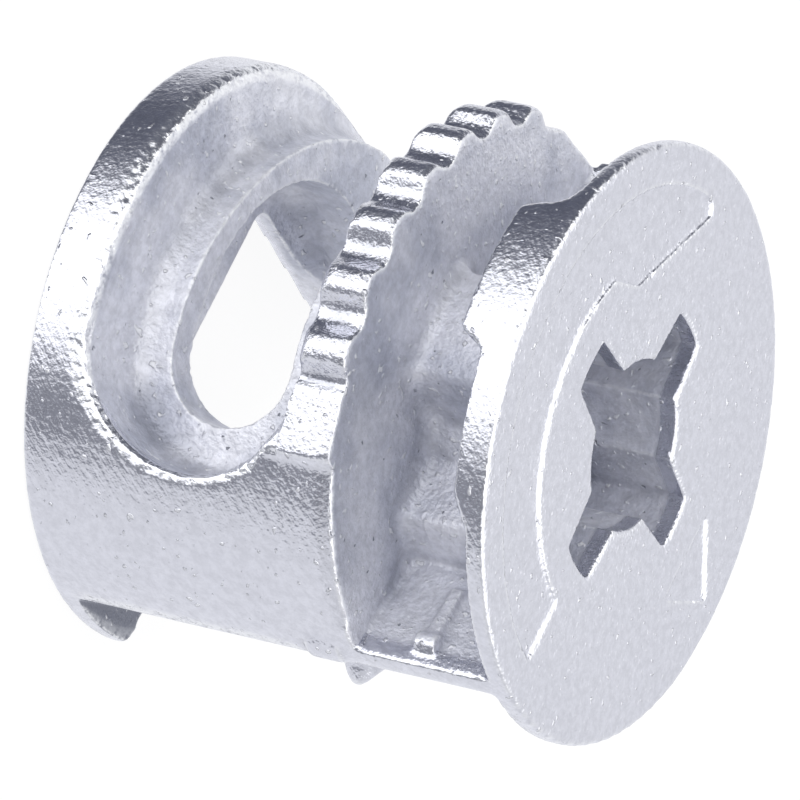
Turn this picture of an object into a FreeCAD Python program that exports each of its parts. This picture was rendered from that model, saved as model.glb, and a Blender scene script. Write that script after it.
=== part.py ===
import FreeCAD, Part
import os
import Sketcher
from FreeCAD import Placement, Rotation, Vector

# Cam housing of a furniture cam lock connector: one zinc die casting.
# Frame: Z is the turning axis, up towards the drive face. X points out of the bolt mouth.
# The origin is the centre of the bottom disc. Lengths are in mm, angles in degrees from +X.

SIZES = {
    # drum and end discs
    "drum_radius": 7.4,
    "overall_height": 12.75,
    "face_thickness": 0.5,
    "bottom_thickness": 0.55,
    "rim_round": 0.12,
    # toothed plate in the middle of the drum
    "plate_underside": 7.25,
    "plate_thickness": 1.35,
    "tooth_relief": 0.25,
    "tooth_height": 0.42,
    "low_tooth_height": 0.12,
    "teeth_per_turn": 27,
    "tall_teeth": 7,
    "first_tooth_angle": 203,
    "relief_angle": 30,
    "tooth_crown_turn": 4.8,
    "tooth_crown_radius": 0.85,
    "tooth_crown_drop": 0.05,
    "tooth_back_turn": 3.0,
    "tooth_front_turn": 1.5,
    "tooth_toe_turn": 2.3,
    "tooth_toe_radius": 0.37,
    "tooth_toe_share": 0.3,
    "tooth_edge": 0.14,
    "tooth_under_edge": 0.22,
    "tooth_seat": 0.5,
    "end_tooth_from": 210,
    "end_tooth_to": 223,
    "end_tooth_fall": 0.3,
    "end_tooth_slope": 1.7,
    "end_tooth_drop": 1.4,
    # flat side of the drum, a short tooth at its start and a pointed nub on it
    "flat_distance": 6.46,
    "flat_angle": 298.5,
    "flat_tooth_angle": 266.8,
    "flat_tooth_thickness": 1.0,
    "flat_nub_angle": 285,
    "flat_nub_height": 7.57,
    "flat_nub_tip": 7.25,
    "flat_nub_radius": 0.72,
    # the bottom disc stops short of the flat's far end, with a round corner
    "disc_end": 2.95,
    "disc_corner": 0.6,
    # outer groove for the bolt, with a round end
    "groove_low": 1.5,
    "groove_end_angle": 208.5,
    "groove_floor_radius": 4.85,
    "ramp_radius": 7.55,
    "ramp_start_angle": 174,
    "ramp_sweep": 92,
    "groove_fillet": 0.6,
    # neck slot through the cam wall
    "neck_height": 4.1,
    "neck_width": 3.25,
    # cavity for the bolt head, and its mouth
    "cavity_radius": 4.5,
    "cavity_offset_x": 0.45,
    "cavity_offset_y": 0.5,
    "cavity_round": 0.8,
    "mouth_inner_half": 4.1,
    "mouth_outer_half": 4.4,
    "mouth_start": 0.6,
    "mouth_corner": 0.5,
    # window behind the drive face, and the boss that stands in it
    "window_edge": 0.45,
    "window_edge_boss": 0.2,
    "window_edge_rim": 0.62,
    "boss_wall": 0.85,
    "boss_corner": 0.3,
    "boss_fillet": 0.45,
    # cross recess for the screwdriver
    "drive_tip_radius": 3.5,
    "drive_tip_half": 0.7,
    "drive_root_half": 0.85,
    "drive_core_radius": 2.1,
    "drive_depth": 4.0,
    "drive_edge": 0.1,
    # thick rib under the face, and the lower lip that follows it
    "rib_angle": 195,
    "rib_inner_radius": 3.6,
    "rib_start": 3.8,
    "rib_round": 0.65,
    "rib_ramp": 0.2,
    "rib_stop": 0.15,
    "rib_step": 0.4,
    "rib_depth": 1.1,
    "lip_stop": 3.6,
    "lip_taper": 0.65,
    "lip_depth": 0.4,
    # small cast ridge on the window's end wall, and the nub at its end
    "ridge_height": 10.3,
    "ridge_width": 0.35,
    "ridge_rise": 0.15,
    "ridge_from": 5.0,
    "ridge_to": 6.7,
    "nub_radius": 0.3,
    # shallow arrow marks on the face
    "mark_depth": 0.18,
    "turn_mark_inner": 4.65,
    "turn_mark_outer": 6.35,
    "turn_mark_tail": 268.5,
    "turn_mark_neck": 155,
    "turn_mark_barb": 141,
    "turn_mark_flare": 0.6,
    "turn_mark_tip": 104.2,
    "turn_mark_round": 0.36,
    "bolt_mark_angle": -2.5,
    "bolt_mark_base": 4.7,
    "bolt_mark_tip": 6.55,
    "bolt_mark_half": 1.3,
}

doc = FreeCAD.newDocument("cam_lock")
sheet = doc.addObject("Spreadsheet::Sheet", "sizes")
for row, (name, number) in enumerate(SIZES.items(), start=1):
    sheet.set(f"A{row}", name)
    sheet.set(f"B{row}", str(number))
    sheet.setAlias(f"B{row}", name)
doc.recompute()

body = doc.addObject("PartDesign::Body", "CamHousing")
body.Label = "cam_housing"
doc.recompute()

BEYOND = "(sizes.drum_radius + 2)"
PLATE_TOP = "(sizes.plate_underside + sizes.plate_thickness)"
FACE_BACK = "(sizes.overall_height - sizes.face_thickness)"
GROOVE_MID = "((sizes.groove_low + sizes.plate_underside) / 2)"
GROOVE_HALF = "((sizes.plate_underside - sizes.groove_low) / 2)"
BOSS_REACH = "(sizes.drive_tip_radius + sizes.boss_wall)"
TOOTH_ROOT = "(sizes.drum_radius - sizes.tooth_relief)"
TOOTH_TIP = f"({TOOTH_ROOT} + sizes.tooth_height)"


def origin(role):
    return next(item for item in body.Origin.OriginFeatures if item.Role == role)


def number(expression):
    return float(sheet.evalExpression(expression.replace("sizes.", "")))


def polar(radius, angle):
    return f"{radius} * cos({angle})", f"{radius} * sin({angle})"


def level_sketch(name, height):
    # A horizontal sketch at the given height.
    sketch = body.newObject("Sketcher::SketchObject", name)
    sketch.AttachmentSupport = [(origin("XY_Plane"), "")]
    sketch.MapMode = "FlatFace"
    sketch.setExpression(".AttachmentOffset.Base.z", height)
    return sketch


def upright_sketch(name, angle, centre=("0", "0"), height="0"):
    # An upright sketch: its x runs outwards at the angle, its y is up, from the centre given.
    sketch = body.newObject("Sketcher::SketchObject", name)
    sketch.AttachmentSupport = [(origin("XZ_Plane"), "")]
    sketch.MapMode = "FlatFace"
    sketch.AttachmentOffset = Placement(Vector(0, 0, 0), Rotation(Vector(0, 1, 0), number(angle)))
    sketch.setExpression(".AttachmentOffset.Rotation.Angle", angle)
    sketch.setExpression(".AttachmentOffset.Base.x", centre[0])
    sketch.setExpression(".AttachmentOffset.Base.y", height)
    sketch.setExpression(".AttachmentOffset.Base.z", f"-({centre[1]})")
    return sketch


def bind(sketch, constraint, expression):
    index = sketch.addConstraint(constraint)
    sketch.setExpression(f"Constraints[{index}]", expression)


def draw_circle(sketch, radius, centre=("0", "0")):
    x, y = (number(part) for part in centre)
    circle = sketch.addGeometry(Part.Circle(Vector(x, y, 0), Vector(0, 0, 1), number(radius)))
    bind(sketch, Sketcher.Constraint("Radius", circle, number(radius)), radius)
    bind(sketch, Sketcher.Constraint("DistanceX", -1, 1, circle, 3, x), centre[0])
    bind(sketch, Sketcher.Constraint("DistanceY", -1, 1, circle, 3, y), centre[1])


def arc_between(start, end, radius, turn):
    # The shorter arc of that radius, turning left (1) or right (-1) on its way.
    chord = end - start
    middle = (start + end) * 0.5
    side = Vector(-chord.y, chord.x, 0).normalize() * turn
    centre = middle + side * max(radius ** 2 - (chord.Length / 2) ** 2, 0) ** 0.5
    halfway = centre + (middle - centre).normalize() * radius if (middle - centre).Length > 1e-9 \
        else centre - side * radius
    return Part.Arc(start, halfway, end)


def draw_outline(sketch, corners):
    # A closed outline. A corner is (x, y), or (x, y, radius, turn) where an arc leaves it.
    points = [Vector(number(corner[0]), number(corner[1]), 0) for corner in corners]
    edges = []
    for index, corner in enumerate(corners):
        start, end = points[index], points[(index + 1) % len(points)]
        if len(corner) == 4:
            edges.append(sketch.addGeometry(arc_between(start, end, number(corner[2]), corner[3])))
        else:
            edges.append(sketch.addGeometry(Part.LineSegment(start, end)))
    for index, corner in enumerate(corners):
        ends = [1, 2]
        if len(corner) == 4 and corner[3] < 0:
            ends.reverse()
        following = edges[(index + 1) % len(edges)]
        after = corners[(index + 1) % len(corners)]
        entry = 2 if len(after) == 4 and after[3] < 0 else 1
        sketch.addConstraint(Sketcher.Constraint("Coincident", edges[index], ends[1], following, entry))
        edge, end = edges[index], ends[0]
        bind(sketch, Sketcher.Constraint("DistanceX", -1, 1, edge, end, points[index].x), corner[0])
        bind(sketch, Sketcher.Constraint("DistanceY", -1, 1, edge, end, points[index].y), corner[1])
        if len(corner) == 4:
            bind(sketch, Sketcher.Constraint("Radius", edge, number(corner[2])), corner[2])


def pad(name, sketch, length):
    feature = body.newObject("PartDesign::Pad", name)
    feature.Profile = sketch
    feature.setExpression("Length", length)
    return finish(feature, sketch)


def pocket(name, sketch, length, upwards=True):
    feature = body.newObject("PartDesign::Pocket", name)
    feature.Profile = sketch
    feature.Reversed = upwards
    feature.setExpression("Length", length)
    return finish(feature, sketch)


def groove(name, sketch, axis, angle, backwards=False):
    feature = body.newObject("PartDesign::Groove", name)
    feature.Profile = sketch
    feature.ReferenceAxis = (sketch, [axis])
    feature.Reversed = backwards
    feature.setExpression("Angle", angle)
    return finish(feature, sketch)


def revolve(name, sketch, axis):
    feature = body.newObject("PartDesign::Revolution", name)
    feature.Profile = sketch
    feature.ReferenceAxis = (sketch, [axis])
    feature.Angle = 360
    return finish(feature, sketch)


def polar_pattern(name, original, occurrences, backwards):
    feature = body.newObject("PartDesign::PolarPattern", name)
    feature.Originals = [original]
    feature.Axis = (origin("Z_Axis"), [""])
    feature.Reversed = backwards
    feature.setExpression("Angle", f"({occurrences} - 1) * 360 / sizes.teeth_per_turn")
    feature.setExpression("Occurrences", occurrences)
    body.Tip = feature
    return finish(feature)


def fillet(name, base, edges, radius):
    feature = body.newObject("PartDesign::Fillet", name)
    feature.Base = (base, edges)
    feature.setExpression("Radius", radius)
    return finish(feature)


def chamfer(name, base, edges, size):
    feature = body.newObject("PartDesign::Chamfer", name)
    feature.Base = (base, edges)
    feature.setExpression("Size", size)
    return finish(feature)


volumes = []


def finish(feature, sketch=None):
    # Every feature has to change the solid: a cut that points away from it would not.
    doc.recompute()
    if sketch:
        sketch.Visibility = False
    volume = feature.Shape.Volume
    if volumes and abs(volume - volumes[-1]) < 1e-4:
        raise RuntimeError(f"{feature.Name} changes nothing")
    volumes.append(volume)
    print(f"{feature.Name:18s} {volume:9.3f} mm3")
    return feature


def circle_edges(feature, radius, height):
    # Edges of that radius round the turning axis, at that height.
    found = []
    for index, edge in enumerate(feature.Shape.Edges, start=1):
        limits = edge.BoundBox
        if abs(limits.ZMin - height) > 1e-4 or abs(limits.ZMax - height) > 1e-4:
            continue
        curve = edge.Curve
        if isinstance(curve, Part.Circle) and abs(curve.Radius - radius) < 1e-4:
            if curve.Center.x ** 2 + curve.Center.y ** 2 < 1e-8:
                found.append(f"Edge{index}")
    return found


def boss_edges(feature, low, high, reach):
    # The edges between those heights, no further out than the reach, on the window's side.
    found = []
    for index, edge in enumerate(feature.Shape.Edges, start=1):
        middle, limits = edge.CenterOfMass, edge.BoundBox
        if abs(limits.ZMin - low) < 1e-4 and abs(limits.ZMax - high) < 1e-4:
            if middle.x < -0.5 or (low == high and middle.x < 0.1):
                if (middle.x ** 2 + middle.y ** 2) ** 0.5 < reach + 0.01:
                    found.append(f"Edge{index}")
    return found


def edges_within(feature, height, reach):
    # The edges at that height whose ends are no further out than the reach.
    found = []
    for index, edge in enumerate(feature.Shape.Edges, start=1):
        limits = edge.BoundBox
        if abs(limits.ZMin - height) < 1e-4 and abs(limits.ZMax - height) < 1e-4:
            ends = [(vertex.X ** 2 + vertex.Y ** 2) ** 0.5 for vertex in edge.Vertexes]
            if max(ends) < reach + 0.01:
                found.append(f"Edge{index}")
    return found


def draw_cross(sketch, tip_radius, tip_half, root_half, core_radius):
    # Four arms, a little wider at the root, standing on a round core.
    corners = []
    for arm in range(4):
        turn = f"{90 * arm}"

        def corner(along, across):
            return (f"{along} * cos({turn}) - {across} * sin({turn})",
                    f"{along} * sin({turn}) + {across} * cos({turn})")

        root_along = f"sqrt({core_radius} ^ 2 - {root_half} ^ 2)"
        tip_along = f"sqrt({tip_radius} ^ 2 - {tip_half} ^ 2)"
        corners.append(corner(root_along, f"(-{root_half})"))
        corners.append(corner(tip_along, f"(-{tip_half})") + (tip_radius, 1))
        corners.append(corner(tip_along, tip_half))
        corners.append(corner(root_along, root_half) + (core_radius, 1))
    draw_outline(sketch, corners)


def draw_tooth(sketch, angle, inner, root, tip):
    # A tooth with a long back, a round crown, a steep front and a hollow toe.
    back_top = f"({angle} - sizes.tooth_crown_turn / 2)"
    back_foot = f"({back_top} - sizes.tooth_back_turn)"
    front_top = f"({angle} + sizes.tooth_crown_turn / 2)"
    toe_top = f"({front_top} + sizes.tooth_front_turn)"
    toe_end = f"({toe_top} + sizes.tooth_toe_turn)"
    shoulder = f"({tip} - sizes.tooth_crown_drop)"
    draw_outline(sketch, [
        polar(inner, back_foot),
        polar(root, back_foot),
        polar(shoulder, back_top) + ("sizes.tooth_crown_radius", 1),
        polar(shoulder, front_top),
        polar(f"({root} + ({tip} - {root}) * sizes.tooth_toe_share)", toe_top) + ("sizes.tooth_toe_radius", -1),
        polar(root, toe_end),
        polar(inner, toe_end),
    ])


# Drum, from the bottom disc up to the top of the toothed plate
sketch = level_sketch("DrumCircle", "0")
draw_circle(sketch, "sizes.drum_radius")
drum = pad("Drum", sketch, PLATE_TOP)
drum = fillet("BottomRound", drum, circle_edges(drum, number("sizes.drum_radius"), 0), "sizes.rim_round")

# Solid half above the mouth: it carries the bolt's pull into the bore
sketch = level_sketch("UpperHalfShape", PLATE_TOP)
edge_y = "sqrt(sizes.drum_radius ^ 2 - sizes.window_edge ^ 2)"
rim_y = "sqrt(sizes.drum_radius ^ 2 - sizes.window_edge_rim ^ 2)"
draw_outline(sketch, [
    ("-sizes.window_edge_rim", f"-{rim_y}", "sizes.drum_radius", 1),
    ("sizes.drum_radius", "0", "sizes.drum_radius", 1),
    ("-sizes.window_edge", edge_y),
    ("-sizes.window_edge_boss", f"-{BOSS_REACH}"),
])
pad("UpperHalf", sketch, f"{FACE_BACK} - {PLATE_TOP}")

# Boss round the drive recess, standing in the window, with a rounded foot
sketch = level_sketch("BossShape", PLATE_TOP)
draw_cross(sketch, BOSS_REACH, "(sizes.drive_tip_half + sizes.boss_wall)",
           "(sizes.drive_root_half + sizes.boss_wall)", "(sizes.drive_core_radius + sizes.boss_wall)")
boss = pad("Boss", sketch, f"{FACE_BACK} - {PLATE_TOP}")
plate_top, face_back, reach = number(PLATE_TOP), number(FACE_BACK), number(BOSS_REACH)
boss = fillet("BossCorners", boss, boss_edges(boss, plate_top, face_back, reach), "sizes.boss_corner")
fillet("BossFoot", boss, boss_edges(boss, plate_top, plate_top, reach), "sizes.boss_fillet")

# Small cast ridge on the end wall of the window, with a round nub at its outer end
sketch = level_sketch("RidgeShape", "sizes.ridge_height - sizes.ridge_width / 2")
slope = f"(sizes.window_edge_rim - sizes.window_edge_boss) / (sizes.drum_radius - {BOSS_REACH})"


def end_wall_x(reach):
    return f"-(sizes.window_edge_boss + ({reach} - {BOSS_REACH}) * {slope})"


draw_outline(sketch, [
    ("0", "-sizes.ridge_from"),
    (f"{end_wall_x('sizes.ridge_from')} - sizes.ridge_rise", "-sizes.ridge_from"),
    (f"{end_wall_x('sizes.ridge_to')} - sizes.ridge_rise", "-sizes.ridge_to"),
    ("0", "-sizes.ridge_to"),
])
pad("Ridge", sketch, "sizes.ridge_width")

sketch = level_sketch("NubCircle", "sizes.ridge_height - sizes.nub_radius")
draw_circle(sketch, "sizes.nub_radius", (end_wall_x("sizes.ridge_to"), "-sizes.ridge_to"))
pad("Nub", sketch, "2 * sizes.nub_radius")

# Rib under the face, the lower lip beside it, and the ramps they start and end with
sketch = upright_sketch("RibShape", "sizes.rib_angle + 90",
                        centre=polar("sizes.rib_inner_radius", "sizes.rib_angle"), height=FACE_BACK)
draw_outline(sketch, [
    ("-(sizes.rib_start + sizes.rib_round)", "0", "sizes.rib_round", -1),
    ("-sizes.rib_start", "-sizes.rib_round"),
    ("-sizes.rib_start + sizes.rib_ramp", "-sizes.rib_depth"),
    ("-sizes.rib_stop", "-sizes.rib_depth"),
    ("-sizes.rib_stop + sizes.rib_step", "-sizes.lip_depth"),
    ("sizes.lip_stop", "-sizes.lip_depth"),
    ("sizes.lip_stop + sizes.lip_taper", "0"),
])
pad("Rib", sketch, f"{BEYOND} - sizes.rib_inner_radius")

# The rib is turned down to the drum
sketch = upright_sketch("TurningSection", "0")
draw_outline(sketch, [
    ("sizes.drum_radius", PLATE_TOP),
    (f"2 * {BEYOND}", PLATE_TOP),
    (f"2 * {BEYOND}", FACE_BACK),
    ("sizes.drum_radius", FACE_BACK),
])
groove("RibTurning", sketch, "V_Axis", "360")

# Face disc with its rounded rim
sketch = level_sketch("FaceCircle", FACE_BACK)
draw_circle(sketch, "sizes.drum_radius")
face = pad("Face", sketch, "sizes.face_thickness")
face = fillet("FaceRound", face, circle_edges(face, number("sizes.drum_radius"), number("sizes.overall_height")),
              "sizes.rim_round")

# Flat side between the two end discs
sketch = level_sketch("FlatShape", "sizes.bottom_thickness")
draw_outline(sketch, [
    (f"sizes.flat_distance * cos(sizes.flat_angle) {near} {BEYOND} * sin(sizes.flat_angle)",
     f"sizes.flat_distance * sin(sizes.flat_angle) {far} {BEYOND} * cos(sizes.flat_angle)")
    for near, far in (("+", "-"), ("-", "+"))
] + [
    (f"{BEYOND} * cos(sizes.flat_angle) {near} {BEYOND} * sin(sizes.flat_angle)",
     f"{BEYOND} * sin(sizes.flat_angle) {far} {BEYOND} * cos(sizes.flat_angle)")
    for near, far in (("-", "+"), ("+", "-"))
])
pocket("Flat", sketch, f"{FACE_BACK} - sizes.bottom_thickness")

# The bottom disc's end beyond the flat
sketch = level_sketch("DiscEndShape", "0")


def flat_y(x):
    return f"(sizes.flat_distance - {x} * cos(sizes.flat_angle)) / sin(sizes.flat_angle)"


corner_y = "sqrt((sizes.drum_radius - sizes.disc_corner) ^ 2 - sizes.disc_end ^ 2)"
rim_x = "(sizes.disc_end - sizes.disc_corner)"
rim_y = f"sqrt(sizes.drum_radius ^ 2 - {rim_x} ^ 2)"
draw_outline(sketch, [
    ("sizes.disc_end", flat_y("sizes.disc_end")),
    ("sizes.disc_end", f"-{corner_y}", "sizes.disc_corner", -1),
    (rim_x, f"-{rim_y}"),
    (rim_x, f"-{BEYOND}"),
    (BEYOND, f"-{BEYOND}"),
    (BEYOND, flat_y(BEYOND)),
])
pocket("DiscEnd", sketch, "sizes.bottom_thickness")

# Toothed edge of the plate: a relief down to the roots, then the teeth
sketch = level_sketch("ReliefShape", "sizes.plate_underside")
half_way = "((sizes.relief_angle + sizes.end_tooth_to) / 2)"
draw_outline(sketch, [
    polar(TOOTH_ROOT, "sizes.relief_angle") + (TOOTH_ROOT, 1),
    polar(TOOTH_ROOT, half_way) + (TOOTH_ROOT, 1),
    polar(TOOTH_ROOT, "sizes.end_tooth_to"),
    polar(BEYOND, "sizes.end_tooth_to") + (BEYOND, -1),
    polar(BEYOND, half_way) + (BEYOND, -1),
    polar(BEYOND, "sizes.relief_angle"),
])
pocket("ToothRelief", sketch, "sizes.plate_thickness")

tooth_inner = f"({TOOTH_ROOT} - sizes.tooth_seat)"
sketch = level_sketch("TallToothShape", "sizes.plate_underside")
draw_tooth(sketch, "sizes.first_tooth_angle", tooth_inner, TOOTH_ROOT, TOOTH_TIP)
tooth = pad("TallTooth", sketch, "sizes.plate_thickness")
polar_pattern("TallTeeth", tooth, "sizes.tall_teeth", backwards=True)

low_angle = "(sizes.first_tooth_angle - sizes.tall_teeth * 360 / sizes.teeth_per_turn)"
sketch = level_sketch("LowToothShape", "sizes.plate_underside")
draw_tooth(sketch, low_angle, tooth_inner, TOOTH_ROOT, f"({TOOTH_ROOT} + sizes.low_tooth_height)")
pad("LowTooth", sketch, "sizes.plate_thickness")

# The last tooth is broad. Its back falls away, and it runs on down to the groove's round end.
sketch = level_sketch("EndToothShape", "sizes.plate_underside - sizes.end_tooth_drop")
end_foot = "(sizes.end_tooth_to + sizes.end_tooth_slope)"
draw_outline(sketch, [
    polar(tooth_inner, "sizes.end_tooth_from"),
    polar(f"({TOOTH_TIP} - sizes.end_tooth_fall)", "sizes.end_tooth_from"),
    polar(TOOTH_TIP, "sizes.end_tooth_to"),
    polar("sizes.drum_radius", end_foot),
    polar(tooth_inner, end_foot),
])
pad("EndTooth", sketch, "(sizes.plate_thickness + sizes.end_tooth_drop)")

# The toothed rim's edges are taken off at the tips, above over all teeth and below up to the last
for name, level, edge, end in (
    ("ToothEdges", PLATE_TOP, "-sizes.tooth_edge", end_foot),
    ("ToothUnderEdges", "sizes.plate_underside", "sizes.tooth_under_edge", "sizes.end_tooth_from"),
):
    sketch = upright_sketch(f"{name}Section", "sizes.relief_angle")
    draw_outline(sketch, [
        (f"{TOOTH_TIP} - abs({edge})", level),
        (f"{TOOTH_TIP} + abs({edge})", level),
        (f"{TOOTH_TIP} + abs({edge})", f"{level} + 2 * {edge}"),
    ])
    groove(name, sketch, "V_Axis", f"{end} - sizes.relief_angle")

# A short tooth at the start of the flat, and a pointed cast nub on it
sketch = level_sketch("FlatToothShape", "sizes.plate_underside")
draw_tooth(sketch, "sizes.flat_tooth_angle", tooth_inner, TOOTH_ROOT, TOOTH_TIP)
pad("FlatTooth", sketch, "sizes.flat_tooth_thickness")

sketch = upright_sketch("FlatNubSection", "sizes.flat_nub_angle", height="sizes.flat_nub_height")
draw_outline(sketch, [
    ("sizes.flat_distance - sizes.flat_nub_radius", "0"),
    ("sizes.flat_nub_tip", "0"),
    ("sizes.flat_nub_tip", "sizes.flat_nub_radius / 5"),
    ("sizes.flat_distance", "sizes.flat_nub_radius"),
    ("sizes.flat_distance - sizes.flat_nub_radius", "sizes.flat_nub_radius"),
])
revolve("FlatNub", sketch, "H_Axis")

# Outer groove. Its floor is round the axis first, then a larger arc that runs out at the rim.
floor, rounding = "sizes.groove_floor_radius", "sizes.groove_fillet"


def draw_groove_section(sketch, inner):
    draw_outline(sketch, [
        (f"{inner} + {rounding}", "sizes.groove_low"),
        (f"{inner} + {BEYOND}", "sizes.groove_low"),
        (f"{inner} + {BEYOND}", "sizes.plate_underside"),
        (f"{inner} + {rounding}", "sizes.plate_underside", rounding, 1),
        (inner, f"sizes.plate_underside - {rounding}"),
        (inner, f"sizes.groove_low + {rounding}", rounding, 1),
    ])


sketch = upright_sketch("GrooveSection", "sizes.ramp_start_angle")
draw_groove_section(sketch, floor)
groove("OuterGroove", sketch, "V_Axis", "sizes.groove_end_angle - sizes.ramp_start_angle")

ramp_centre = polar(f"({floor} - sizes.ramp_radius)", "sizes.ramp_start_angle")
sketch = upright_sketch("RampSection", "sizes.ramp_start_angle", centre=ramp_centre)
draw_groove_section(sketch, "sizes.ramp_radius")
groove("OuterRamp", sketch, "V_Axis", "sizes.ramp_sweep", backwards=True)

sketch = upright_sketch("GrooveEndSection", "sizes.groove_end_angle", height=GROOVE_MID)
draw_outline(sketch, [
    (floor, "0"),
    (BEYOND, "0"),
    (BEYOND, GROOVE_HALF),
    (f"{floor} + {rounding}", GROOVE_HALF, rounding, 1),
    (floor, f"{GROOVE_HALF} - {rounding}"),
])
groove("GrooveEnd", sketch, "H_Axis", "360")

# Neck slot through the cam wall, with a round end of its own
sketch = level_sketch("NeckShape", "sizes.neck_height - sizes.neck_width / 2")
neck_half_way = "(sizes.groove_end_angle / 2)"
neck_inner = "(sizes.cavity_radius / 2)"
draw_outline(sketch, [
    polar(BEYOND, "0") + (BEYOND, 1),
    polar(BEYOND, neck_half_way) + (BEYOND, 1),
    polar(BEYOND, "sizes.groove_end_angle"),
    polar(neck_inner, "sizes.groove_end_angle"),
    ("0", "0"),
])
pocket("NeckSlot", sketch, "sizes.neck_width")

sketch = upright_sketch("NeckEndSection", "sizes.groove_end_angle", height="sizes.neck_height")
draw_outline(sketch, [
    (neck_inner, "0"),
    (BEYOND, "0"),
    (BEYOND, "sizes.neck_width / 2"),
    (neck_inner, "sizes.neck_width / 2"),
])
groove("NeckEnd", sketch, "H_Axis", "360")

# Cavity for the bolt head, its floor edge rounded
cavity_centre = ("sizes.cavity_offset_x", "sizes.cavity_offset_y")
sketch = upright_sketch("CavitySection", "0", centre=cavity_centre)
draw_outline(sketch, [
    ("0", "sizes.bottom_thickness"),
    ("sizes.cavity_radius - sizes.cavity_round", "sizes.bottom_thickness", "sizes.cavity_round", 1),
    ("sizes.cavity_radius", "sizes.bottom_thickness + sizes.cavity_round"),
    ("sizes.cavity_radius", "sizes.plate_underside"),
    ("0", "sizes.plate_underside"),
])
groove("Cavity", sketch, "V_Axis", "360")

# Mouth, open to the side and to the bottom
sketch = level_sketch("MouthShape", "0")
start, corner = "(-sizes.mouth_start)", "sizes.mouth_corner"
draw_outline(sketch, [
    (start, f"sizes.mouth_inner_half - {corner}"),
    (start, f"-(sizes.mouth_inner_half - {corner})", corner, 1),
    (f"{start} + {corner}", "-sizes.mouth_inner_half"),
    ("sizes.drum_radius", "-sizes.mouth_outer_half"),
    ("sizes.drum_radius", "sizes.mouth_outer_half"),
    (f"{start} + {corner}", "sizes.mouth_inner_half", corner, 1),
])
pocket("Mouth", sketch, "sizes.plate_underside")

# Cross recess in the face
sketch = level_sketch("DriveShape", "sizes.overall_height - sizes.drive_depth")
draw_cross(sketch, "sizes.drive_tip_radius", "sizes.drive_tip_half", "sizes.drive_root_half",
           "sizes.drive_core_radius")
recess = pocket("DriveRecess", sketch, "sizes.drive_depth")
top, tip_reach = number("sizes.overall_height"), number("sizes.drive_tip_radius")
chamfer("DriveEdge", recess, edges_within(recess, top, tip_reach), "sizes.drive_edge")

# Turning mark: a long arrow round the drive recess
inner, outer = "sizes.turn_mark_inner", "sizes.turn_mark_outer"
tail, neck, barb = "sizes.turn_mark_tail", "sizes.turn_mark_neck", "sizes.turn_mark_barb"
tip, middle = "sizes.turn_mark_tip", "((sizes.turn_mark_tail + sizes.turn_mark_tip) / 2)"
sketch = level_sketch("TurnMarkShape", "sizes.overall_height - sizes.mark_depth")
point = "sizes.turn_mark_round"
draw_outline(sketch, [
    polar(outer, f"({tip} + {point} / {outer} * 180 / pi)") + (outer, 1),
    polar(outer, middle) + (outer, 1),
    polar(outer, tail),
    polar(inner, tail) + (inner, -1),
    polar(inner, neck),
    polar(f"({inner} - sizes.turn_mark_flare)", barb),
    polar(f"({outer} - {point})", tip) + (point, 1),
])
pocket("TurnMark", sketch, "sizes.mark_depth")

# Bolt mark: a small arrow head that points to the mouth
sketch = level_sketch("BoltMarkShape", "sizes.overall_height - sizes.mark_depth")
base, half, turned = "sizes.bolt_mark_base", "sizes.bolt_mark_half", "sizes.bolt_mark_angle"
draw_outline(sketch, [
    (f"{base} * cos({turned}) + {half} * sin({turned})", f"{base} * sin({turned}) - {half} * cos({turned})"),
    polar("sizes.bolt_mark_tip", turned),
    (f"{base} * cos({turned}) - {half} * sin({turned})", f"{base} * sin({turned}) + {half} * cos({turned})"),
])
pocket("BoltMark", sketch, "sizes.mark_depth")

for item in doc.Objects:
    if "Invalid" in item.State or "Error" in item.State:
        raise RuntimeError(f"{item.Name} is not sound: {item.State}")
if body.Shape.isNull() or not body.Shape.isValid() or len(body.Shape.Solids) != 1:
    raise RuntimeError("the housing is not one valid solid")

os.makedirs("parts", exist_ok=True)
body.Shape.exportStep(f"parts/{body.Label}.step")
box = body.Shape.BoundBox
print(f"box {box.XLength:.3f} x {box.YLength:.3f} x {box.ZLength:.3f} mm, volume {body.Shape.Volume:.2f} mm3")
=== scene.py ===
import bpy
import bmesh
import math
from mathutils import Matrix, Vector


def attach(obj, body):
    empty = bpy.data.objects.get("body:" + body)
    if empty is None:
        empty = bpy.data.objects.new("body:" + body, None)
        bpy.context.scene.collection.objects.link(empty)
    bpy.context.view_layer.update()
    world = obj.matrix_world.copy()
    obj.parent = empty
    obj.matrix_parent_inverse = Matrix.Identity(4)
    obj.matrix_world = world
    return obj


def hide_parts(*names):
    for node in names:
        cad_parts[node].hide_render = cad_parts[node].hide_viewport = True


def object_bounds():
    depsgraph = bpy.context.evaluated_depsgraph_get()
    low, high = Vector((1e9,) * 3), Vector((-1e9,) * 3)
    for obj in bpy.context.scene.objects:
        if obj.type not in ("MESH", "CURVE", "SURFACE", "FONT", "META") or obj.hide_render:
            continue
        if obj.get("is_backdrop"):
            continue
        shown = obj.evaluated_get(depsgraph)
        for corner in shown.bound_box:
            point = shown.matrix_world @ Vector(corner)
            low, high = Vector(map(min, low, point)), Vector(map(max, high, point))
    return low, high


# Furniture cam: one zinc casting, shown from the side of the toothed plate and the drive face.
# Metres, in the frame of the solids: the turning axis is Z, the bolt mouth opens to +X.

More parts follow.
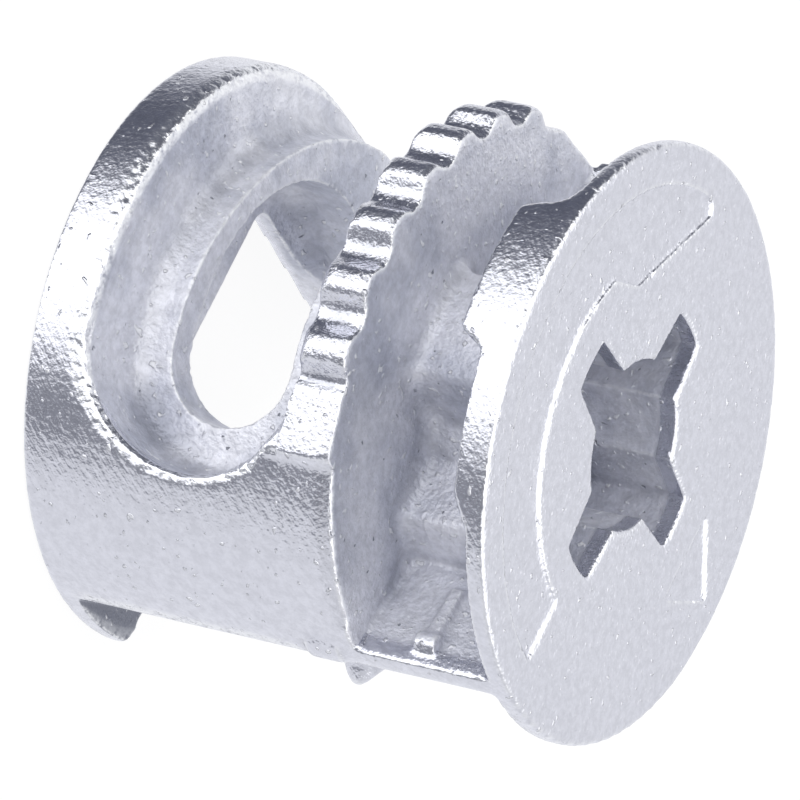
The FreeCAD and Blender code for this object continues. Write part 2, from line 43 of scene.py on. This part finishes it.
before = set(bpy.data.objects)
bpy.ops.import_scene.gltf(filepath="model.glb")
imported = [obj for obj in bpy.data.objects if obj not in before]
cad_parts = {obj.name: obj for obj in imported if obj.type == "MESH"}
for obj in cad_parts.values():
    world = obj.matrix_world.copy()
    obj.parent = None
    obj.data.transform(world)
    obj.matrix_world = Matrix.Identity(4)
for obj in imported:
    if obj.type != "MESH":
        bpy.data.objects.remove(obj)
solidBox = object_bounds()
print("stage: frame loaded")

mm = 0.001


def hexToLinear(code):
    channels = [int(code[i:i + 2], 16) / 255 for i in (1, 3, 5)]
    return [c / 12.92 if c <= 0.04045 else ((c + 0.055) / 1.055) ** 2.4 for c in channels] + [1.0]


def addNode(tree, kind, settings=None, links=None):
    # one node: plain settings by attribute name, socket values and links by input name or number
    node = tree.nodes.new(kind)
    for name, value in (settings or {}).items():
        setattr(node, name, value)
    for name, value in (links or {}).items():
        if isinstance(value, bpy.types.NodeSocket):
            tree.links.new(value, node.inputs[name])
        else:
            node.inputs[name].default_value = value
    return node


def emptyTree(owner):
    owner.use_nodes = True
    owner.node_tree.nodes.clear()
    return owner.node_tree


def nodeMaths(tree):
    # the sums that every tree is made of
    def calculate(operation, first, second=0.0, third=0.0):
        node = addNode(tree, "ShaderNodeMath", {"operation": operation},
                       {0: first, 1: second, 2: third})
        return node.outputs["Value"]

    def product(first, *others):
        for other in others:
            first = calculate("MULTIPLY", first, other)
        return first

    def between(value, begin, end, low=0.0, high=1.0):
        # low at begin, high at end, and soft at both
        node = addNode(tree, "ShaderNodeMapRange", {"interpolation_type": "SMOOTHSTEP"}, {
            "Value": value, "From Min": begin, "From Max": end, "To Min": low, "To Max": high})
        return node.outputs["Result"]

    def dot(first, second):
        node = addNode(tree, "ShaderNodeVectorMath", {"operation": "DOT_PRODUCT"},
                       {0: first, 1: second})
        return node.outputs["Value"]

    def split(vector):
        return list(addNode(tree, "ShaderNodeSeparateXYZ", {}, {0: vector}).outputs)

    def fromAxis(across, along):
        squares = calculate("MULTIPLY_ADD", across, across, product(along, along))
        return calculate("SQRT", squares)

    return calculate, product, between, dot, split, fromAxis


# camera: where the photograph was taken from, in the frame of the part
cameraSettings = {
    "location": (-0.147289, -0.080093, 0.095611),   # m
    "right": (0.305334, 0.402068, 0.863200),
    "up": (-0.552643, 0.813038, -0.183220),
    "sensorWidth": 36,          # mm
    "focalLength": 350.39,      # mm
    "clip": (0.01, 5),          # m
}


def makeCamera(settings):
    data = bpy.data.cameras.new("camera")
    data.sensor_width = settings["sensorWidth"]
    data.lens = settings["focalLength"]
    data.clip_start, data.clip_end = settings["clip"]
    camera = bpy.data.objects.new("camera", data)
    right, up = Vector(settings["right"]).normalized(), Vector(settings["up"]).normalized()
    turned = Matrix((right, up, right.cross(up))).transposed()
    camera.matrix_world = Matrix.Translation(Vector(settings["location"])) @ turned.to_4x4()
    bpy.context.scene.collection.objects.link(camera)
    bpy.context.scene.camera = camera


makeCamera(cameraSettings)

# zinc die casting: bright and satin where tumbling reached it, dull and cloudy inside, worn white
# along the edges with a painted highlight there, the die's fine grain, rubbed strokes, small
# knocks painted bright as highlights, a few pits, and painted shade in the hollows and on the
# ledge beside the flat
zincSettings = {
    "colour": "#E5E6ED",
    "cloudColour": "#BFC2CE",
    # painted shade, laid into the concave corners
    "hollowShadeColour": "#8A8D9A",
    "ledgeShadeColour": "#7C7F8B",   # painted shade: the end disc's corner beside the flat is coloured dark as if shaded
    # worn edges and knocks: partly real wear, partly a painted highlight
    "wearAndHighlightColour": "#F4F5F8",
    "pitColour": "#8E919C",
    # pairs of a value on the tumbled outside and one inside
    "roughness": (0.20, 0.44),
    "metal": (1.0, 0.55),       # the dull skin inside mirrors less
    "mottle": (0.6, 1.0),
    "strokes": (0.8, 0.0),      # times the depth of the grain
    # mm, from where a zone starts to where it is full
    "tumbledFrom": (6.5, 7.1),  # from the axis, the bright outside
    "innerTop": (12.4, 12.1),   # the dull skin ends just under the drive face
    "innerBottom": (0.1, 0.4),  # and just above the bottom
    "toothTop": (9.3, 9.1),     # the teeth have a coarser grain
    "toothBottom": (7.0, 7.2),
    "flatFrom": (6.36, 6.56),   # from the axis, past the flat
    "ledgeTop": (2.4, 2.1),
    # how much of an upward direction a surface has
    "levelWall": (0.93, 0.75),  # a level wall counts as inside right out to the teeth
    "ledgeFacing": (0.3, 0.7),
    # mm, about the size of one spot of each noise
    "grainSize": 0.060,         # the die's own grain
    "mottleSize": 0.13,         # small light and dark spots
    "patchSize": 1.8,           # clouds in the skin
    "dentSize": 0.55,           # shallow dents inside
    "knockSize": 0.12,
    "pitSize": 0.10,
    # from the value of a noise where a mark starts to the one where it is full
    "mottleRange": (0.25, 0.75),
    "cloudRange": (0.40, 0.66),
    "hollowShadeRange": (0.35, 0.70),
    "wearAndHighlightRange": (0.30, 0.55),
    "knockRange": (0.69, 0.79),
    "pitRange": (0.27, 0.19),
    "moreKnocks": 0.03,         # added to their noise inside
    "mottleShare": 0.11,        # how much lighter and darker the spots are
    "hollowDark": (0.10, 0.60), # share of their colour at both ends of their range
    # painted highlight: how near white the knocks are painted
    "knockHighlight": 0.8,
    "outerPits": 0.15,          # share of the pits that shows on the outside
    "patchRoughness": 0.2,
    "knockRoughness": 0.25,
    "strokeRadius": 6.9,        # mm, the cylinder that the strokes are wound on
    "strokeLength": 0.34,       # mm
    "strokeSlant": 37,          # degrees that they lean from round the drum towards its axis
    "grainDepth": 0.019,        # mm
    "dentDepth": 0.030,         # mm
    # times the depth of the grain
    "innerGrain": 0.8,
    "toothGrain": 0.5,
    "knockRise": 1.6,
    "pitRise": -2.0,
    "flatSide": (0.477, -0.879, 0),     # direction from the axis to the flat
}


def makeZinc(settings):
    material = bpy.data.materials.new("zincDieCasting")
    tree = emptyTree(material)
    calculate, product, between, dot, split, fromAxis = nodeMaths(tree)

    def zone(value, name):
        begin, end = settings[name]
        return between(value, begin * mm, end * mm)

    def noise(vector, size, detail=1.0, roughness=0.5):
        cellsPerMetre = 500 / size      # a spot is half a cell wide
        node = addNode(tree, "ShaderNodeTexNoise", {}, {
            "Vector": vector, "Scale": cellsPerMetre, "Detail": detail, "Roughness": roughness})
        return node.outputs["Fac"]

    def blend(share, first, second):
        node = addNode(tree, "ShaderNodeMix", {"data_type": "RGBA"},
                       {0: share, 6: first, 7: second})
        return node.outputs[2]

    place = addNode(tree, "ShaderNodeTexCoord").outputs["Object"]
    across, along, height = split(place)
    reach = fromAxis(across, along)
    upwards = split(addNode(tree, "ShaderNodeNewGeometry").outputs["Normal"])[2]

    # where the surface lies: 0 on the tumbled outside, 1 in the recess, the groove and the gap
    outer = product(zone(reach, "tumbledFrom"),
                    between(calculate("ABSOLUTE", upwards), *settings["levelWall"]))
    inside = product(zone(height, "innerTop"), zone(height, "innerBottom"),
                     calculate("SUBTRACT", 1.0, outer))

    def byPlace(name):
        return between(inside, 0.0, 1.0, *settings[name])

    # strokes lie on the unrolled drum: the way round it and the height, turned by their slant
    around = product(calculate("ARCTAN2", along, across), settings["strokeRadius"] * mm)
    slant = math.radians(settings["strokeSlant"])
    lengthwise = calculate("MULTIPLY_ADD", around, math.cos(slant),
                           product(height, math.sin(slant)))
    sideways = calculate("MULTIPLY_ADD", height, math.cos(slant),
                         product(around, -math.sin(slant)))
    unrolled = addNode(tree, "ShaderNodeCombineXYZ", {}, {
        "X": product(lengthwise, settings["grainSize"] / settings["strokeLength"]),
        "Y": sideways, "Z": reach})
    strokes = noise(unrolled.outputs["Vector"], settings["grainSize"])
    grain = noise(place, settings["grainSize"], 2.0)
    mottle = noise(place, settings["mottleSize"], 2.0, 0.7)
    patches = noise(place, settings["patchSize"], 3.0, 0.6)
    dents = noise(place, settings["dentSize"])

    # the peaks of one noise are knocks, the hollows of another are pits
    knocks = between(calculate("MULTIPLY_ADD", inside, settings["moreKnocks"],
                               noise(place, settings["knockSize"])), *settings["knockRange"])
    pits = product(between(noise(place, settings["pitSize"]), *settings["pitRange"]),
                   calculate("MULTIPLY_ADD", inside, 1 - settings["outerPits"],
                             settings["outerPits"]))

    # the casting's edges, worn unevenly, and painted white partly as a highlight
    edges = addNode(tree, "ShaderNodeAttribute", {"attribute_name": "edgeShare"}).outputs["Fac"]
    worn = product(edges, between(mottle, *settings["wearAndHighlightRange"]))

    # colour: clouds and painted shade in the hollows, then spots, painted shade on the ledge,
    # white wear with a painted highlight, and pits
    clouds = product(between(patches, *settings["cloudRange"]), inside)
    skin = blend(clouds, hexToLinear(settings["colour"]), hexToLinear(settings["cloudColour"]))
    # painted shade: the concave corners are darkened as if shaded
    hollowShade = addNode(tree, "ShaderNodeAttribute", {"attribute_name": "hollowShadeShare"})
    cornerShade = product(hollowShade.outputs["Fac"],
                   between(patches, *settings["hollowShadeRange"], *settings["hollowDark"]))
    skin = blend(cornerShade, skin, hexToLinear(settings["hollowShadeColour"]))
    swing = product(between(mottle, *settings["mottleRange"], -1.0, 1.0), settings["mottleShare"])
    spotted = addNode(tree, "ShaderNodeHueSaturation", {}, {
        "Value": calculate("MULTIPLY_ADD", swing, byPlace("mottle"), 1.0), "Color": skin})
    # painted shade on the end disc's ledge beside the flat
    ledgeShade = product(zone(height, "ledgeTop"), between(upwards, *settings["ledgeFacing"]),
                    zone(dot(place, settings["flatSide"]), "flatFrom"))
    tint = blend(ledgeShade, spotted.outputs["Color"], hexToLinear(settings["ledgeShadeColour"]))
    # painted highlight: the worn edges and the knocks are blended towards near white
    wearAndHighlight = calculate("MAXIMUM", worn, product(knocks, settings["knockHighlight"]))
    tint = blend(wearAndHighlight, tint, hexToLinear(settings["wearAndHighlightColour"]))
    tint = blend(pits, tint, hexToLinear(settings["pitColour"]))

    uneven = settings["patchRoughness"]
    rough = calculate("ADD", byPlace("roughness"),
                      calculate("MULTIPLY_ADD", patches, uneven, -uneven / 2))
    rough = calculate("ADD", rough, product(knocks, settings["knockRoughness"]))

    # relief, in depths of the grain
    teeth = product(zone(height, "toothBottom"), zone(height, "toothTop"), outer)
    coarse = calculate("ADD", product(inside, settings["innerGrain"]),
                       product(teeth, settings["toothGrain"]))
    lift = calculate("MULTIPLY_ADD", grain, calculate("ADD", coarse, 1.0),
                     product(strokes, byPlace("strokes")))
    lift = calculate("MULTIPLY_ADD", knocks, settings["knockRise"], lift)
    lift = calculate("MULTIPLY_ADD", pits, settings["pitRise"], lift)
    dented = product(dents, inside, settings["dentDepth"] / settings["grainDepth"])
    bump = addNode(tree, "ShaderNodeBump", {}, {
        "Height": calculate("ADD", lift, dented),
        "Distance": settings["grainDepth"] * mm, "Strength": 1.0})

    shader = addNode(tree, "ShaderNodeBsdfPrincipled", {}, {
        "Base Color": tint, "Metallic": byPlace("metal"), "Roughness": rough,
        "Normal": bump.outputs["Normal"]})
    addNode(tree, "ShaderNodeOutputMaterial", {}, {"Surface": shader.outputs["BSDF"]})
    return material


zinc = makeZinc(zincSettings)
print("stage: zinc material")

# the casting: the solid's own surface with cast edges, rounded as tumbling leaves them
castingSettings = {
    "voxel": 0.06,              # mm
    "weld": 0.0005,             # mm
    "smoothing": 0.5,
    "smoothingRounds": 2,
    "triangles": 190000,
    # inputs of the node group
    "Wave size": 1.3,           # mm
    "Wave depth": 0.012,        # mm
    "Grain size": 0.35,         # mm
    "Grain depth": 0.004,       # mm
    "Chip size": 0.20,          # mm
    "Chip depth": 0.15,         # mm, an edge is knocked back by up to a third of it
    "Edge rounds": 5,           # rounds of blurring that show the fine edges
    "Round rounds": 60,         # and where tumbling rounded the rims most
    "Tooth rounds": 9,          # fewer on the teeth, the nubs and the face's rim
    "Round below": 7.1,         # mm, the groove's rims, under the teeth
    "Lean from": 8.10,          # mm, where the drum's edge beside the teeth starts to lean in
    "Lean to": 8.60,            # mm
    "Lean depth": 0.14,         # mm
    "Top": 12.75,               # mm, the drive face
    "Mark share": 0.42,         # how deep the worn marks still are
    "Inner share": 2.2,         # how much more uneven the skin is inside
    # mm, from where a zone starts to where it is full; first by the distance from the axis
    "outside": (6.9, 7.2),
    "nearAxis": (7.1, 6.8),
    "chipWithin": (7.1, 6.9),
    "markWithin": (6.9, 6.7),
    "markDepth": (0.3, 0.2),
    # by the height
    "innerTop": (12.6, 12.4),
    "innerBottom": (0.1, 0.3),
    "hollowTop": (12.5, 12.3),
    "chipFrom": (9.2, 9.6),
    "faceRim": (12.2, 12.0),
    "upperPart": (7.1, 7.2),
    "lowerPart": (0.3, 1.0),    # the bottom's own outline stays as it is
    "roundFade": 0.1,
    "leanTop": 9.4,
    # along X or Y
    "rimBack": (-2.5, -1.0),    # on this side the face's rim is rounded too
    "leanBack": (-5.0, -5.3),
    "leanSide": (-1.2, -1.6),
    # by how far a point stands out of the blurred surface
    "roundEdge": (0.005, 0.025),
    "fineEdge": (0.006, 0.022),
    "hollow": (-0.012, -0.06),
    "noiseTop": 0.95,           # the noises stay below it, so that they only move inwards
    "chipMargin": 0.45,         # an edge is chipped where the noise is further below that
}


def castSkinTree(settings, material):
    # rounds the rims, then moves the surface inwards by noises, as the uneven skin of a casting
    tree = bpy.data.node_groups.new("castSkin", "GeometryNodeTree")
    calculate, product, between, dot, split, fromAxis = nodeMaths(tree)
    tree.interface.new_socket("Geometry", in_out="INPUT", socket_type="NodeSocketGeometry")
    for name in settings:
        if name[0].isupper():
            kind = "NodeSocketInt" if "rounds" in name else "NodeSocketFloat"
            tree.interface.new_socket(name, in_out="INPUT", socket_type=kind)
    tree.interface.new_socket("Geometry", in_out="OUTPUT", socket_type="NodeSocketGeometry")
    given = addNode(tree, "NodeGroupInput").outputs
    place = addNode(tree, "GeometryNodeInputPosition").outputs["Position"]
    normal = addNode(tree, "GeometryNodeInputNormal").outputs["Normal"]
    across, along, height = split(place)
    reach = fromAxis(across, along)

    def zone(value, name):
        return between(value, *settings[name])

    def blurred(rounds):
        node = addNode(tree, "GeometryNodeBlurAttribute", {"data_type": "FLOAT_VECTOR"},
                       {"Value": place, "Iterations": rounds})
        return next(socket for socket in node.outputs if socket.enabled)

    def standsOut(rounds):
        # how far a point stands out of the blurred surface, in mm: 0 where it is even
        gap = addNode(tree, "ShaderNodeVectorMath", {"operation": "SUBTRACT"},
                      {0: place, 1: blurred(rounds)})
        return dot(gap.outputs[0], normal)

    def mix(share, first, second):
        node = addNode(tree, "ShaderNodeMix", {"data_type": "VECTOR"},
                       {0: share, 4: first, 5: second})
        return node.outputs[1]

    def store(geometry, name, value):
        node = addNode(tree, "GeometryNodeStoreNamedAttribute",
                       {"data_type": "FLOAT", "domain": "POINT"},
                       {"Geometry": geometry, "Name": name, "Value": value})
        return node.outputs["Geometry"]

    def move(geometry, **where):
        node = addNode(tree, "GeometryNodeSetPosition", {}, {"Geometry": geometry, **where})
        return node.outputs["Geometry"]

    def vector(**parts):
        return addNode(tree, "ShaderNodeCombineXYZ", {}, parts).outputs[0]

    # the rims of the outside under the teeth are rounded most, the upper part's edges less;
    # in front the face's own rim stays sharp
    outside = zone(reach, "outside")
    fadeFrom = calculate("ADD", given["Round below"], settings["roundFade"])
    low = product(between(height, fadeFrom, given["Round below"]), zone(height, "lowerPart"))
    rubbed = calculate("MAXIMUM", zone(height, "faceRim"), zone(along, "rimBack"))
    upper = product(rubbed, zone(height, "upperPart"), outside)
    rounded = product(low, outside, zone(standsOut(given["Round rounds"]), "roundEdge"))
    softer = mix(upper, place, blurred(given["Tooth rounds"]))
    rounder = mix(rounded, softer, blurred(given["Round rounds"]))

    # how much of an edge or of a hollow a point is, kept for the chips and for the material's
    # worn edges with their painted highlight and its painted shade in the hollows
    fine = zone(standsOut(given["Edge rounds"]), "fineEdge")
    shape = store(given["Geometry"], "edgeShare", calculate("MAXIMUM", rounded, fine))
    shape = store(shape, "hollowShadeShare", product(
        zone(standsOut(given["Round rounds"]), "hollow"), zone(height, "hollowTop")))
    shape = move(shape, Position=rounder)

    # the drum's edge beside the teeth leans in
    beside = product(product(outside, zone(along, "leanBack")), product(
        zone(across, "leanSide"), between(height, given["Lean from"], given["Lean to"])))
    leaning = product(given["Lean depth"], calculate("LESS_THAN", height, settings["leanTop"]),
                      calculate("DIVIDE", beside, reach), -1.0)
    shape = move(shape, Offset=vector(X=product(leaning, across), Y=product(leaning, along)))

    # the marks in the drive face are worn until they are shallow
    below = calculate("SUBTRACT", given["Top"], height)
    worn = calculate("SUBTRACT", 1.0, given["Mark share"])
    fillUp = product(zone(reach, "markWithin"), zone(below, "markDepth"), below, worn)
    shape = move(shape, Offset=vector(Z=fillUp))

    # waves and grain all over, stronger inside, and chips along the edges
    edge = addNode(tree, "GeometryNodeInputNamedAttribute", {"data_type": "FLOAT"},
                   {"Name": "edgeShare"}).outputs[0]
    inner = product(zone(height, "innerTop"), zone(height, "innerBottom"),
                    zone(reach, "nearAxis"))
    uneven = calculate("MULTIPLY_ADD", inner, given["Inner share"], 1.0)
    chipped = product(zone(height, "chipFrom"),
                      calculate("MAXIMUM", rubbed, zone(reach, "chipWithin")))
    chipped = product(edge, calculate("MAXIMUM", low, chipped))
    lifts = []
    for kind in ("Wave", "Grain", "Chip"):
        noise = addNode(tree, "ShaderNodeTexNoise", {}, {
            "Vector": place, "Scale": calculate("DIVIDE", 1.0, given[kind + " size"]),
            "Detail": 1.0})
        drop = calculate("SUBTRACT", noise.outputs["Fac"], settings["noiseTop"])
        if kind == "Chip":
            deep = calculate("MINIMUM", calculate("ADD", drop, settings["chipMargin"]), 0.0)
            drop = product(chipped, deep)
        else:
            drop = product(drop, uneven)
        lifts.append(product(drop, given[kind + " depth"]))
    lift = calculate("ADD", lifts[0], calculate("ADD", lifts[1], lifts[2]))
    offset = addNode(tree, "ShaderNodeVectorMath", {"operation": "SCALE"},
                     {"Vector": normal, "Scale": lift})
    shape = move(shape, Offset=offset.outputs["Vector"])
    for kind, links in (("GeometryNodeSetShadeSmooth", {}), ("GeometryNodeRealizeInstances", {}),
                        ("GeometryNodeSetMaterial", {"Material": material})):
        shape = addNode(tree, kind, {}, {"Geometry": shape, **links}).outputs["Geometry"]
    addNode(tree, "NodeGroupOutput", {}, {"Geometry": shape})
    return tree


def makeCasting(settings, node, material):
    mesh = node.data.copy()
    mesh.transform(node.matrix_world)
    mesh.transform(Matrix.Scale(1 / mm, 4))     # in millimetres while it is worked
    joined = bmesh.new()
    joined.from_mesh(mesh)
    bmesh.ops.remove_doubles(joined, verts=joined.verts, dist=settings["weld"])
    joined.to_mesh(mesh)
    joined.free()
    work = bpy.data.objects.new("castingWork", mesh)
    bpy.context.scene.collection.objects.link(work)
    remesh = work.modifiers.new("remesh", "REMESH")
    remesh.mode = "VOXEL"
    remesh.voxel_size = settings["voxel"]
    soften = work.modifiers.new("soften", "SMOOTH")
    soften.factor = settings["smoothing"]
    soften.iterations = settings["smoothingRounds"]
    skin = work.modifiers.new("skin", "NODES")
    skin.node_group = castSkinTree(settings, material)
    for item in skin.node_group.interface.items_tree:
        if item.in_out == "INPUT" and item.name in settings:
            skin[item.identifier] = settings[item.name]
    graph = bpy.context.evaluated_depsgraph_get()
    dense = len(work.evaluated_get(graph).data.polygons) * 2    # it is made of quads
    thin = work.modifiers.new("thin", "DECIMATE")
    thin.ratio = min(1.0, settings["triangles"] / dense)
    graph = bpy.context.evaluated_depsgraph_get()
    finished = bpy.data.meshes.new_from_object(work.evaluated_get(graph))
    bpy.data.objects.remove(work)
    finished.transform(Matrix.Scale(mm, 4))
    finished.name = "castHousing"
    casting = bpy.data.objects.new("castHousing", finished)
    bpy.context.scene.collection.objects.link(casting)
    casting.data.materials.clear()
    casting.data.materials.append(material)
    finished.calc_loop_triangles()
    print("casting:", len(finished.vertices), "points,",
          len(finished.loop_triangles), "triangles")
    return casting


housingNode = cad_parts["cam_housing"]
casting = makeCasting(castingSettings, housingNode, zinc)
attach(casting, "root")
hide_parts("cam_housing")
print("stage: casting")

# studio: a white floor under the bottom disc, and light all round with two darker sides,
# as between the soft boxes of a table-top studio
studioSettings = {
    "floorSize": 1.2,           # m
    "floorWhite": "#F4F4F4",
    "floorShare": 0.16,         # how much of the floor's white comes from the lamps
    "floorGlow": 1.02,          # its brightness if all of it came from the floor itself
    "lampWhite": 0.85,          # what the lamps' share of it is worth
    # azimuth in degrees from +X, brightness of what the metal mirrors there
    "sideLight": [
        (-180, 1.6), (-150, 1.5), (-141, 0.9), (-132, 0.36), (-116, 0.22), (-107, 0.34),
        (-99, 0.80), (-40, 0.83), (0, 0.92), (66, 0.92), (79, 0.60), (91, 0.21), (110, 0.10),
        (135, 0.16), (147, 0.34), (155, 1.0), (164, 1.6), (180, 1.6)],
    "shade": (0, 0.008, 0.045),     # the cool light that the dark sides still give
    "higher": 0.86,             # above table height the sides are a little darker
    # sine of the elevation where each starts and is full
    "higherFrom": (-0.1, 0.3),
    "ceilingFrom": (0.62, 0.82),
    "ceiling": 1.45,
    "fill": 1.29,
    "fillFrom": (-0.18, 0.33, -0.13),   # the dull skin gets most from the photo's upper side
}


def makeFloor(settings):
    half = settings["floorSize"] / 2
    corners = [(-half, -half, 0), (half, -half, 0), (half, half, 0), (-half, half, 0)]
    mesh = bpy.data.meshes.new("floor")
    mesh.from_pydata(corners, [], [(0, 1, 2, 3)])
    floor = bpy.data.objects.new("floor", mesh)
    bpy.context.scene.collection.objects.link(floor)
    material = bpy.data.materials.new("paperFloor")
    tree = emptyTree(material)
    share = settings["floorShare"]
    paper = addNode(tree, "ShaderNodeBsdfDiffuse", {}, {
        "Color": [c * share for c in hexToLinear(settings["floorWhite"])[:3]] + [1]})
    glow = addNode(tree, "ShaderNodeEmission", {}, {
        "Color": (1, 1, 1, 1), "Strength": settings["floorGlow"] - share * settings["lampWhite"]})
    both = addNode(tree, "ShaderNodeAddShader", {}, {0: paper.outputs[0], 1: glow.outputs[0]})
    addNode(tree, "ShaderNodeOutputMaterial", {}, {"Surface": both.outputs[0]})
    mesh.materials.append(material)
    floor.visible_glossy = False
    floor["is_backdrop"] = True


def makeLight(settings):
    world = bpy.data.worlds.new("studio")
    bpy.context.scene.world = world
    tree = emptyTree(world)
    calculate, _, between, dot, split, _ = nodeMaths(tree)

    def background(strength, colour=(1, 1, 1, 1)):
        node = addNode(tree, "ShaderNodeBackground", {}, {"Color": colour, "Strength": strength})
        return node.outputs[0]

    def choose(share, first, second):
        node = addNode(tree, "ShaderNodeMixShader", {}, {0: share, 1: first, 2: second})
        return node.outputs[0]

    # what the metal mirrors: the sides by azimuth, and the ceiling
    direction = addNode(tree, "ShaderNodeTexCoord").outputs["Generated"]
    across, along, height = split(direction)
    turn = addNode(tree, "ShaderNodeMapRange", {}, {
        "Value": calculate("ARCTAN2", along, across), "From Min": -math.pi, "From Max": math.pi})
    ramp = addNode(tree, "ShaderNodeValToRGB", {}, {"Fac": turn.outputs["Result"]})
    stops = ramp.color_ramp.elements
    brightest = max(level for _, level in settings["sideLight"]) + max(settings["shade"])
    for index, (degrees, level) in enumerate(settings["sideLight"]):
        part = (degrees + 180) / 360
        stop = stops[index] if index < 2 else stops.new(part)
        stop.position = part
        stop.color = [(level + shade) / brightest for shade in settings["shade"]] + [1]
    dimmed = between(height, *settings["higherFrom"], brightest, brightest * settings["higher"])
    mirrored = choose(between(height, *settings["ceilingFrom"]),
                      background(dimmed, ramp.outputs["Color"]), background(settings["ceiling"]))

    # what lights the dull skin, and the white that the camera sees
    fill = calculate("MULTIPLY_ADD", dot(direction, settings["fillFrom"]),
                     settings["fill"], settings["fill"])
    path = addNode(tree, "ShaderNodeLightPath").outputs
    lit = choose(path["Is Glossy Ray"], background(fill), mirrored)
    seen = choose(path["Is Camera Ray"], lit, background(1.0))
    addNode(tree, "ShaderNodeOutputWorld", {}, {"Surface": seen})


makeFloor(studioSettings)
makeLight(studioSettings)
bpy.context.scene.view_settings.view_transform = "Standard"
print("stage: studio")

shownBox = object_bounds()
for name, box in (("of the solids", solidBox), ("as shown", shownBox)):
    print("box", name, [tuple(round(value / mm, 2) for value in corner) for corner in box])
